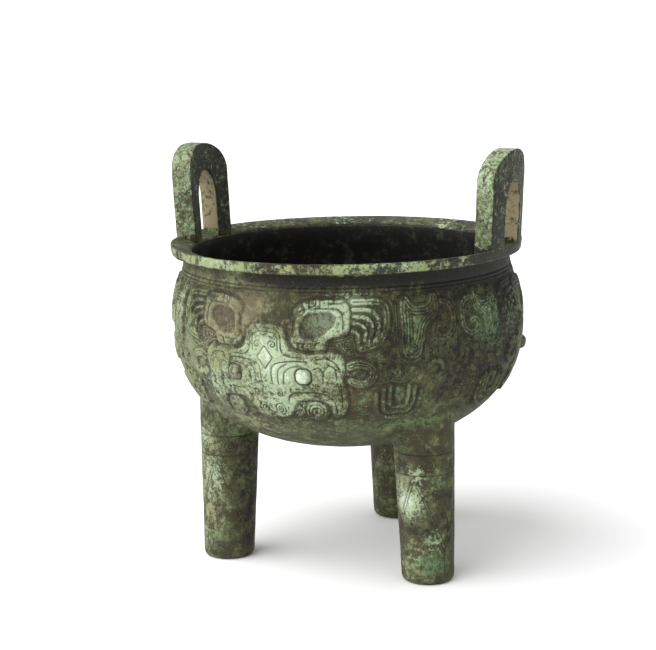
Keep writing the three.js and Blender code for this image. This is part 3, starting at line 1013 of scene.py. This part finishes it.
# Where each colour gathers: azimuth, height, half width in degrees, half height, strength
PLACES = {
    # The broad dust on the left makes the bowl paler towards the front-left
    "dust": [
        (-28, 124, 26, 28, 0.72), (-62, 130, 30, 60, 0.7), (2, 148, 20, 18, 0.45),
        (18, 120, 16, 22, 0.4), (-8, 94, 26, 8, 0.5), (-14, 180, 26, 6, 0.5),
        (36, 165, 12, 10, 0.2), (30, 92, 20, 8, 0.3),
        (150, 140, 50, 60, 0.4), (-120, 140, 40, 60, 0.6),
    ],
    "mint": [
        (2, 133, 8, 14, 0.75), (-3, 146, 8, 8, 0.45), (11, 130, 6, 8, 0.3), (20, 137, 7, 7, 0.45),
        (17, 160, 10, 13, 0.62), (15, 113, 9, 6, 0.5), (0, 111, 11, 9, 0.5), (-18, 122, 13, 12, 0.45),
        (10.2, 129.4, 1.9, 3.4, 0.8), (-30, 110, 8, 10, 0.35),
        (26, 171, 6, 4, 0.5), (29, 160, 5, 12, 0.3), (44, 160, 6, 12, 0.1), (6, 96, 5, 4, 0.4),
        (24, 128, 8, 8, 0.4), (-50, 150, 20, 30, 0.2), (-27, 123, 7, 9, 0.3),
        (140, 140, 30, 30, 0.4), (-130, 150, 30, 26, 0.4),
    ],
    "green": [
        (40, 118, 8, 12, 0.4), (72, 152, 12, 18, 0.42), (55, 98, 25, 4, 0.5), (20, 96, 30, 7, 0.3),
        (44, 156, 6, 20, 0.3), (86, 150, 20, 26, 0.3), (-60, 90, 14, 16, 0.3), (60, 86, 22, 10, 0.4),
        (160, 150, 30, 30, 0.3), (-150, 110, 30, 30, 0.3), (-40, 140, 20, 40, 0.25),
    ],
    "brown": [
        (-8, 168, 9, 8, 0.8), (-12, 156, 8, 10, 0.8), (-22, 160, 9, 10, 0.9), (-30, 138, 12, 20, 0.5),
        (-34, 112, 12, 12, 0.4), (50, 126, 12, 18, 0.35), (30, 100, 16, 8, 0.3),
        (120, 160, 14, 10, 0.4), (-120, 120, 20, 14, 0.3), (-10, 182, 24, 6, 0.5),
    ],
    "rust": [
        (67, 130, 3, 10, 0.75), (25.5, 117, 2.5, 8, 0.55), (-22, 164, 6, 7, 0.08),
        (57, 120, 3, 6, 0.3),
    ],
    # The dark at heights 180 to 182 is painted shadow under the lip, heaviest on the right; the broad
    # dark lower on the right makes the bowl darker there
    "dark": [
        (46, 182, 38, 9, 1.0), (92, 180, 30, 14, 1.0), (8, 181, 16, 6, 0.7), (-16, 121, 10, 12, 0.35),
        (-30, 132, 14, 26, 0.2), (16, 110, 10, 8, 0.25), (38, 148, 5, 20, 0.4),
        (31, 155, 4, 9, 0.3), (56, 140, 9, 30, 0.35), (86, 140, 26, 60, 0.4), (-34, 116, 14, 14, 0.3),
        (60, 80, 26, 9, 0.45), (-60, 66, 20, 9, 0.3), (180, 60, 40, 30, 0.3), (-165, 180, 40, 10, 0.7),
        (44, 92, 30, 8, 0.2), (-34, 182, 24, 8, 0.3), (80, 120, 40, 44, 0.22), (34, 134, 12, 12, 0.2),
    ],
}
# On the legs: azimuth of the leg, angle round it from its outward side, and the rest as above
# The broad dust on the front legs' left sides is painted light, and the broad dark on their right sides
# is painted shade
PLACES_ON_LEGS = {
    "dust": [
        (-60, -30, 45, 50, 60, 0.75), (60, -30, 45, 45, 60, 0.6), (60, 30, 45, 40, 60, 0.25),
        (180, 0, 40, 60, 60, 0.3), (60, 150, 40, 60, 60, 0.4), (-60, 180, 40, 60, 60, 0.4),
    ],
    "mint": [
        (60, -18, 49, 34, 8, 0.85), (60, -20, 12, 34, 8, 0.45), (60, 40, 24, 30, 10, 0.4),
        (60, 10, 52, 40, 12, 0.22), (60, 5, 66, 22, 6, 0.5), (60, -40, 60, 20, 12, 0.3),
        (-60, -36, 77, 30, 9, 0.7), (-60, -10, 56, 40, 12, 0.7), (-60, -20, 40, 40, 8, 0.35),
        (-60, -30, 14, 30, 8, 0.5), (-60, 60, 10, 40, 6, 0.25),
        (180, 20, 40, 40, 14, 0.3), (60, 150, 40, 50, 24, 0.4), (-60, -130, 50, 60, 20, 0.3),
    ],
    "green": [
        (60, 30, 13, 50, 9, 0.65), (60, 50, 60, 30, 10, 0.4), (-60, 20, 12, 60, 10, 0.4),
        (180, 0, 20, 60, 12, 0.35), (-60, 40, 82, 60, 8, 0.4), (60, -30, 84, 40, 6, 0.4),
    ],
    "brown": [(-60, -20, 33, 50, 9, 0.6), (60, -50, 74, 24, 12, 0.4), (60, 20, 25, 50, 6, 0.35)],
    "rust": [(60, 0, 76, 12, 5, 0.5), (60, -60, 66, 10, 10, 0.3)],
    "dark": [
        (60, -5, 32, 60, 6, 0.5), (60, 10, 78, 70, 7, 0.55), (-60, 78, 45, 36, 60, 0.6),
        (60, 84, 40, 30, 60, 0.35), (180, 60, 40, 50, 60, 0.3),
    ],
}


def write_attribute(mesh, name, values):
    layer = mesh.attributes.new(name, "FLOAT", "POINT")
    layer.data.foreach_set("value", values.astype(np.float32))


# Share of each colour on the faces of the lip and the handles
FACE_SHARES = {
    "lip edge": {"mint": 0.5, "dark": 0.2},
    "rest of lip": {"mint": 0.35, "dust": 0.3, "dark": 0.4},
    "broad side": {"mint": 0.4, "dark": 0.72},
    "narrow side": {"green": 0.5, "mint": 0.54, "dust": 0.45, "dark": 0.22},
    "opening": {"dust": 0.45, "dark": 0.12, "earth": 0.72},
}
FOOT_EARTH = 0.5  # share of earth at a handle's feet
FOOT_REACH = 9  # height that it reaches to
EDGE_PAINTED_SHADE = 0.62  # painted shade on the lip's edge, to the right, away from the key light
EDGE_RAMP = (-10, 50, 120)  # azimuths where that starts, is full and ends
# Painted shadow of the lip over the whole neck
NECK_PAINTED_SHADOW = 0.4
NECK_PAINTED_LIGHT = 0.3  # painted light that pales the neck to the left, towards the key light
NECK_RAMP = (0, -30, -60)
NECK_START = 3  # height above the band from which the wall is neck
# How far each colour's share drifts over the surface
DRIFTS = {"mint": 0.3, "dark": 0.34, "dust": 0.32, "green": 0.32, "brown": 0.22, "rust": 0.12}
# Waves of the drift: size, shift of the noise from colour to colour, number of the first shift
DRIFT_WAVES = [(22, 300, 1), (9, 77, 3)]
EDGE_DRIFT = 2.2  # how much stronger the drift is on the lip's edge

# Limits by which a point is told to be on one part of the casting
HIGHEST_RELIEF = 4.2
CLOSE_TO_MOUTH = 0.5
CLOSE_TO_OPENING = 1.2
CLOSE_TO_LEG = 3
LEG_REACH = 1.6  # of the shoulder's radius
EDGE_TILT = (-0.7, 0.6)  # upward part of the normal on the lip's edge
BROAD_TILT = 0.5  # outward part of the normal from which a handle's face is a broad side


def ramp(azimuth, start, full, end):
    """From 0 at one azimuth to 1 at another, and 0 again past the end."""
    before_end = azimuth < end if end > start else azimuth > end
    return np.clip((azimuth - start) / (full - start), 0, 1) * before_end


def leg_side(points, index, legs, bowl):
    """How far points are from a leg's axis, and the angle round it from the outward side."""
    turn = math.radians(SECTOR * (index + 0.5))
    x = points[:, 0] * math.cos(turn) + points[:, 1] * math.sin(turn)
    y = -points[:, 0] * math.sin(turn) + points[:, 1] * math.cos(turn)
    y += legs.circle - legs.lean / bowl.clearance * points[:, 2]
    return np.hypot(x, y), np.arctan2(x, -y)


def paint(mesh, bowl, band, legs, handle):
    """Writes where relief, lines and colours lie, painted light and shade among them, for the patina to
    read.
    """
    points = get_points(mesh)
    normals = normals_of(mesh)
    azimuth = azimuth_of(points)
    height = points[:, 2]
    distance, way = from_axis(points)

    middle = (bowl.radius(height, bowl.wall) + bowl.radius(height)) / 2
    above_floor = height > bowl.clearance + bowl.wall / 2
    below_mouth = height < bowl.rim_level - bowl.lip_fall - CLOSE
    inside = above_floor & (distance < middle) & below_mouth
    on_handle = height > bowl.rim_level + CLOSE
    past_mouth = distance > bowl.throat_radius + CLOSE_TO_MOUTH
    lip = ~on_handle & (height > bowl.lip_underside - CLOSE) & past_mouth
    leg_sides = [leg_side(points, index, legs, bowl) for index in range(LEG_COUNT)]
    from_leg = np.min([away for away, _ in leg_sides], axis=0)
    near_leg = from_leg < legs.shoulder_radius + CLOSE_TO_LEG
    below_bowl = height < bowl.underside(distance - HIGHEST_RELIEF) - CLOSE
    leg = ~inside & near_leg & below_bowl
    wall = ~(inside | on_handle | lip | leg)

    _, raised, carved, hollow = band.at(azimuth, height)
    raised = raised * wall
    hollow = hollow * wall
    carved = carved * wall * sharpness(points) / band.relief.line_depth
    facing = azimuth.copy()
    for index, (away, around) in enumerate(leg_sides):
        mine = leg & (away < legs.shoulder_radius * LEG_REACH)
        line = leg_carving(legs, around, height, np.full(len(height), legs.shoulder_radius))
        carved = np.where(mine, line_section(line, band.relief), carved)
        facing = np.where(mine, np.degrees(around) + SECTOR * (index + 0.5), facing)

    edge_face = lip & (normals[:, 2] > EDGE_TILT[0]) & (normals[:, 2] < EDGE_TILT[1])
    outward = np.sum(normals[:, :2] * way, axis=1)
    broad_side = on_handle & (np.abs(outward) > BROAD_TILT)
    narrow_side = on_handle & ~broad_side
    half_opening = handle.opening_width / 2 + CLOSE_TO_OPENING
    opening_top = bowl.rim_level + handle.opening_height + CLOSE_TO_OPENING
    in_opening = narrow_side & (np.abs(points[:, 1]) < half_opening) & (height < opening_top)
    faces = {
        "lip edge": edge_face,
        "rest of lip": lip & ~edge_face,
        "broad side": broad_side,
        "narrow side": narrow_side & ~in_opening,
        "opening": in_opening,
    }

    colours = {}
    for name, places in PLACES.items():
        colours[name] = patches(azimuth, height, places) * wall
        for leg_azimuth, *place in PLACES_ON_LEGS[name]:
            mine = leg & (np.abs(wrapped_degrees(azimuth - leg_azimuth)) < SECTOR / 2)
            colours[name] += patches(facing, height, [place]) * mine
    foot = np.clip(1 - (height - bowl.rim_level) / FOOT_REACH, 0, 1) * on_handle
    colours["earth"] = FOOT_EARTH * foot
    for face, shares in FACE_SHARES.items():
        for name, share in shares.items():
            colours[name] += share * faces[face]
    neck = wall & (height > band.top + NECK_START)
    # Painted shade on the lip's edge, to the right
    colours["dark"] += EDGE_PAINTED_SHADE * ramp(azimuth, *EDGE_RAMP) * edge_face
    # The lip's painted shadow on the neck, lightened to the left by painted light
    colours["dark"] += (NECK_PAINTED_SHADOW - NECK_PAINTED_LIGHT * ramp(azimuth, *NECK_RAMP)) * neck
    drift_strength = 1 + EDGE_DRIFT * edge_face + in_opening
    for index, (name, reach) in enumerate(DRIFTS.items()):
        waves = [
            lattice_noise(points + shift * (index + first), size)
            for size, shift, first in DRIFT_WAVES
        ]
        colours[name] += reach * (sum(waves) - 1) * drift_strength

    forms = {"raised": raised, "hollow": hollow, "carved": carved, "inside": inside, "lip": edge_face}
    for name, values in {**colours, **forms}.items():
        write_attribute(mesh, name, values)


# Materials


def add_node(tree, kind, settings=None, links=None):
    """Adds a node, sets its properties and sockets, and links its inputs."""
    node = tree.nodes.new(kind)
    for key, value in (settings or {}).items():
        if hasattr(node, str(key)):
            setattr(node, key, value)
        else:
            node.inputs[key].default_value = value
    for key, source in (links or {}).items():
        tree.links.new(source, node.inputs[key])
    return node


def with_alpha(rgb):
    return (*rgb, 1)


# Noise of the patina: size of its lumps in millimetres, detail, roughness, shift. The grit of such
# a crust is finer than 0.3 mm, too fine for a view of the vessel, so the fine noise is coarser.
NOISES = {
    "middle": (9, 9, 0.78, 31),
    "crumb": (3.2, 9, 0.8, 57),
    "other crumb": (2.5, 9, 0.8, 113),
    "fine": (0.9, 4, 0.75, 67),
}
# Layers that lie where their places and a noise gather them: places, strength of the noise,
# sum where the layer starts and where it is full, gain on raised shapes, share that it covers
GATHERED = {
    "brown": ("brown", 3, 0.35, 0.8, 0, 0.8),
    "dust": ("dust", 4, 0.4, 0.95, 0.12, 0.8),
    "green": ("green", 4, 0.4, 0.8, 0.15, 0.8),
    "mint": ("mint", 4, 0.45, 0.8, 0.22, 0.9),
    "chalk": ("mint", 4, 0.95, 1.3, 0.2, 0.8),
    "earth": ("earth", 3, 0.35, 0.75, 0, 0.9),
    "rust": ("rust", 3, 0.45, 0.8, 0, 0.75),
    "dark": ("dark", 4, 0.4, 0.75, 0, 0.92),
}
# Noise, or depth of a line, where each of these starts and where it is full
SPREADS = {
    "olive": (0.42, 0.58),
    "buff": (0.5, 0.62),
    "buff crumbs": (0.44, 0.54),
    "lip green": (0.47, 0.55),
    "sheltered dirt": (0.33, 0.56),
    "specks of dirt": (0.58, 0.64),
    "specks of dust": (0.62, 0.7),
    "dirt kept in lines": (0.4, 0.6),
    "lines": (0.08, 0.6),
    "dust inside": (0.5, 0.66),
}
# Share that each of these covers
COVERS = {
    "buff": 0.55,
    "sheltered dirt": 0.78,
    "specks of dirt": 0.75,
    "specks of dust": 0.35,
    "dust inside": 0.14,
}
LINE_DIRT = 0.3  # share of dirt that every line keeps
MORE_LINE_DIRT = 0.55  # and what it keeps besides, where the noise is high
CRUMB_HEIGHT = 0.6  # shares of the two noises in the crust's grain
FINE_HEIGHT = 0.4
BUMP_HEIGHT = 0.6  # of the grain, in millimetres
BUMP_STRENGTH = 0.85
PAPER_ROUGHNESS = 0.9


class Patina:
    """Builds the layers of the corroded surface on a node tree."""

    def __init__(self, tree):
        self.tree = tree
        coordinates = add_node(tree, "ShaderNodeTexCoord").outputs["Object"]
        mapping = add_node(tree, "ShaderNodeMapping", {"Scale": (1 / MM,) * 3}, {"Vector": coordinates})
        self.place = mapping.outputs["Vector"]

    def noise(self, grain, detail, roughness, shift):
        """Noise with lumps of about this many millimetres."""
        moved = add_node(self.tree, "ShaderNodeVectorMath", {1: (shift,) * 3}, {0: self.place})
        settings = {"Scale": 1 / grain, "Detail": detail, "Roughness": roughness}
        links = {"Vector": moved.outputs[0]}
        return add_node(self.tree, "ShaderNodeTexNoise", settings, links).outputs["Fac"]

    def attribute(self, name):
        return add_node(self.tree, "ShaderNodeAttribute", {"attribute_name": name}).outputs["Fac"]

    def math(self, operation, a, b):
        node = add_node(self.tree, "ShaderNodeMath", {"operation": operation})
        for socket, value in zip(node.inputs, (a, b)):
            if isinstance(value, (int, float)):
                socket.default_value = value
            else:
                self.tree.links.new(value, socket)
        return node.outputs[0]

    def step(self, value, low, high):
        """Soft step from 0 at low to 1 at high."""
        settings = {"interpolation_type": "SMOOTHSTEP", "From Min": low, "From Max": high}
        node = add_node(self.tree, "ShaderNodeMapRange", settings, {"Value": value})
        return node.outputs["Result"]

    def layer(self, under, rgb, share):
        """Lays a colour over another where share is 1."""
        node = add_node(self.tree, "ShaderNodeMix", {"data_type": "RGBA"}, {0: share, 6: under})
        node.inputs[7].default_value = with_alpha(rgb)
        return node.outputs[2]


def make_bronze(colours):
    """Excavated cast tin bronze, malachite patina.

    To the eye it is a dull crust without shine: pale green and grey where it is thick and on
    raised shapes, olive and brown where it is thin, nearly black in lines, nooks and the inside.
    The black in the nooks is dirt and painted shade, and painted light and shade lie on the
    legs' sides, on the lip's edge to the right and on the neck.
    """
    material = bpy.data.materials.new("excavated cast tin bronze, malachite patina")
    material.use_nodes = True
    tree = material.node_tree
    tree.nodes.clear()
    patina = Patina(tree)
    middle, crumb, other_crumb, fine = (patina.noise(*noise) for noise in NOISES.values())
    raised = patina.attribute("raised")
    carved = patina.attribute("carved")
    hollow = patina.attribute("hollow")
    inside = patina.attribute("inside")

    def both(first, second):
        return patina.math("MULTIPLY", first, second)

    def spread(part, noise):
        return patina.step(noise, *SPREADS[part])

    def gathered(shade, name, noise):
        """Lays a colour where its places and the noise gather it, and more on raised shapes."""
        places, strength, start, full, gain, cover = GATHERED[name]
        wave = both(patina.math("SUBTRACT", noise, 0.5), strength)
        total = patina.math("ADD", patina.attribute(places), wave)
        if gain:
            total = patina.math("ADD", total, both(raised, gain))
        return patina.layer(shade, getattr(colours, name), both(patina.step(total, start, full), cover))

    def covered(shade, rgb, part, share):
        return patina.layer(shade, rgb, both(share, COVERS[part]))

    tone = add_node(tree, "ShaderNodeMix", {"data_type": "RGBA"}, {0: spread("olive", middle)})
    tone.inputs[6].default_value = with_alpha(colours.bare)
    tone.inputs[7].default_value = with_alpha(colours.olive)
    shade = tone.outputs[2]
    shade = gathered(shade, "brown", crumb)
    shade = gathered(shade, "dust", crumb)
    shade = gathered(shade, "green", other_crumb)
    shade = gathered(shade, "mint", other_crumb)
    buff = both(spread("buff", middle), spread("buff crumbs", crumb))
    shade = covered(shade, colours.dust, "buff", buff)
    shade = gathered(shade, "chalk", crumb)
    lip_share = both(patina.attribute("lip"), spread("lip green", middle))
    shade = patina.layer(shade, colours.lip_green, lip_share)
    shade = gathered(shade, "earth", crumb)
    shade = gathered(shade, "rust", crumb)
    # Dirt and painted shade in the nooks beside raised shapes, in the horns' holes and round the eyes
    sheltered = both(hollow, spread("sheltered dirt", other_crumb))
    shade = covered(shade, colours.dirt, "sheltered dirt", sheltered)
    shade = gathered(shade, "dark", crumb)
    shade = covered(shade, colours.dirt, "specks of dirt", spread("specks of dirt", other_crumb))
    shade = covered(shade, colours.dust, "specks of dust", spread("specks of dust", fine))
    kept = both(spread("dirt kept in lines", crumb), MORE_LINE_DIRT)
    kept = patina.math("ADD", kept, LINE_DIRT)
    shade = patina.layer(shade, colours.dirt, both(spread("lines", carved), kept))
    shade = patina.layer(shade, colours.dark, inside)
    shade = covered(shade, colours.dust, "dust inside", both(inside, spread("dust inside", middle)))

    relief = patina.math("ADD", both(crumb, CRUMB_HEIGHT), both(fine, FINE_HEIGHT))
    settings = {"Strength": BUMP_STRENGTH, "Distance": BUMP_HEIGHT * MM}
    bump = add_node(tree, "ShaderNodeBump", settings, {"Height": relief})
    settings = {"From Min": 0.3, "From Max": 0.7, "To Min": 0.5, "To Max": 0.85}
    roughness = add_node(tree, "ShaderNodeMapRange", settings, {"Value": middle})
    shader = add_node(
        tree,
        "ShaderNodeBsdfPrincipled",
        {"Metallic": 0.0, "IOR": 1.45, "Specular IOR Level": 0.3},
        {
            "Base Color": shade,
            "Normal": bump.outputs["Normal"],
            "Roughness": roughness.outputs["Result"],
        },
    )
    add_node(tree, "ShaderNodeOutputMaterial", links={"Surface": shader.outputs["BSDF"]})
    return material


def make_paper(settings):
    """Matt white studio paper: to the eye an even pale ground with a soft shadow on it."""
    material = bpy.data.materials.new("matt white studio paper")
    material.use_nodes = True
    shader = material.node_tree.nodes["Principled BSDF"]
    shader.inputs["Base Color"].default_value = with_alpha(settings.floor_colour)
    shader.inputs["Roughness"].default_value = PAPER_ROUGHNESS
    return material


# Operators

SHARP_ANGLE = math.radians(55)
# The paper's far edge, outward from the level part and up
PAPER_CURVE = [(0, 0), (600, 90), (1000, 400), (1200, 1500)]
PAPER_STEPS = 96


class DING_OT_cast_vessel(bpy.types.Operator):
    """Casts the ding as one piece, with its relief and patina"""

    bl_idname = "ding.cast_vessel"
    bl_label = "Cast vessel"

    def execute(self, context):
        scene = context.scene
        bowl = Bowl(scene.ding_bowl)
        handle = Millimetres(scene.ding_handle)
        legs = Millimetres(scene.ding_leg)
        relief = Millimetres(scene.ding_relief)
        band = Band(bowl, relief)
        outside = make_outside(bowl, band)
        others = [make_leg(index, legs, bowl, relief) for index in range(LEG_COUNT)]
        others += [make_handle(side, handle, bowl, relief) for side in (-1, 1)]
        cavity = make_cavity(bowl, relief)
        for leg in others[:LEG_COUNT]:
            boolean(outside, leg, "UNION")
        boolean(outside, cavity, "DIFFERENCE")
        for loop in others[LEG_COUNT:]:
            boolean(outside, loop, "UNION")
        context.view_layer.update()
        seen = outside.evaluated_get(context.evaluated_depsgraph_get())
        mesh = bpy.data.meshes.new_from_object(seen)
        if not mesh.polygons:
            raise RuntimeError("the casting came out empty")
        for thing in [outside, cavity, *others]:
            bpy.data.objects.remove(thing)
        paint(mesh, bowl, band, legs, handle)
        low, high = (np.array(corner) / MM for corner in CAD_BOX)
        set_points(mesh, np.clip(get_points(mesh), low, high))
        mesh.transform(Matrix.Scale(MM, 4))
        mesh.shade_smooth()
        mesh.set_sharp_from_angle(angle=SHARP_ANGLE)
        vessel = add_object("ding_casting", mesh)
        mesh.materials.clear()
        mesh.materials.append(make_bronze(scene.ding_patina))
        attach(vessel, "root")
        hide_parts(CAD_NODE)
        return {"FINISHED"}


class DING_OT_set_stage(bpy.types.Operator):
    """Lays the paper, hangs the light and sets the camera"""

    bl_idname = "ding.set_stage"
    bl_label = "Set stage"

    def execute(self, context):
        settings = context.scene.ding_stage
        self.lay_paper(settings)
        self.hang_light(context, settings)
        self.set_camera(context, settings)
        context.scene.view_settings.view_transform = "Standard"
        return {"FINISHED"}

    def lay_paper(self, settings):
        """A level sheet that curves up far away, so that no horizon shows."""
        edge = settings.floor_radius / MM
        section = [(0, 0), *((edge + out, up) for out, up in PAPER_CURVE)]
        floor = turned("studio_floor", section, PAPER_STEPS)
        floor.data.transform(Matrix.Scale(MM, 4))
        floor.data.materials.append(make_paper(settings))

    def hang_light(self, context, settings):
        key = bpy.data.lights.new("soft key light", "SUN")
        key.energy = settings.key_strength
        key.angle = settings.key_softness
        hung = bpy.data.objects.new("soft key light", key)
        level = math.cos(settings.key_height)
        towards = Vector(
            (
                level * math.sin(settings.key_azimuth),
                -level * math.cos(settings.key_azimuth),
                math.sin(settings.key_height),
            )
        )
        hung.rotation_euler = towards.to_track_quat("Z", "Y").to_euler()
        context.collection.objects.link(hung)
        world = bpy.data.worlds.new("pale studio")
        world.use_nodes = True
        background = world.node_tree.nodes["Background"]
        background.inputs["Color"].default_value = (1, 1, 1, 1)
        background.inputs["Strength"].default_value = settings.fill_strength
        context.scene.world = world

    def set_camera(self, context, settings):
        lens = bpy.data.cameras.new("studio camera")
        lens.lens = settings.focal_length
        camera = bpy.data.objects.new("studio camera", lens)
        side, pitch, roll = settings.side, settings.pitch, settings.roll
        heading = -settings.yaw - side
        forward = Vector(
            (
                math.sin(heading) * math.cos(pitch),
                math.cos(heading) * math.cos(pitch),
                -math.sin(pitch),
            )
        )
        right = Vector((math.cos(heading), -math.sin(heading), 0))
        up = right.cross(forward)
        rolled_right = right * math.cos(roll) - up * math.sin(roll)
        rolled_up = right * math.sin(roll) + up * math.cos(roll)
        place = Matrix((rolled_right, rolled_up, -forward)).transposed().to_4x4()
        distance = settings.distance
        place.translation = (
            distance * math.sin(side),
            -distance * math.cos(side),
            settings.eye_level,
        )
        camera.matrix_world = place
        context.collection.objects.link(camera)
        context.scene.camera = camera


class DING_PT_sidebar(bpy.types.Panel):
    """Lists the vessel's sizes, colours and operators"""

    bl_label = "Bronze ding"
    bl_space_type = "VIEW_3D"
    bl_region_type = "UI"
    bl_category = "Ding"

    def draw(self, context):
        for operator in OPERATORS:
            self.layout.operator(operator.bl_idname)
        for name, group in GROUPS.items():
            box = self.layout.box()
            box.label(text=group.__doc__)
            for key in group.__annotations__:
                box.prop(getattr(context.scene, name), key)


GROUPS = {
    "ding_bowl": DingBowlSizes,
    "ding_handle": DingHandleSizes,
    "ding_leg": DingLegSizes,
    "ding_relief": DingReliefSizes,
    "ding_patina": DingPatinaColours,
    "ding_stage": DingStageSettings,
}
OPERATORS = [DING_OT_cast_vessel, DING_OT_set_stage]


def register():
    for name, group in GROUPS.items():
        bpy.utils.register_class(group)
        setattr(bpy.types.Scene, name, bpy.props.PointerProperty(type=group))
    for kind in [*OPERATORS, DING_PT_sidebar]:
        bpy.utils.register_class(kind)


def unregister():
    for kind in [DING_PT_sidebar, *reversed(OPERATORS)]:
        bpy.utils.unregister_class(kind)
    for name, group in reversed(GROUPS.items()):
        delattr(bpy.types.Scene, name)
        bpy.utils.unregister_class(group)


def main():
    register()
    bpy.ops.ding.cast_vessel()
    bpy.ops.ding.set_stage()


if __name__ == "__main__":
    main()
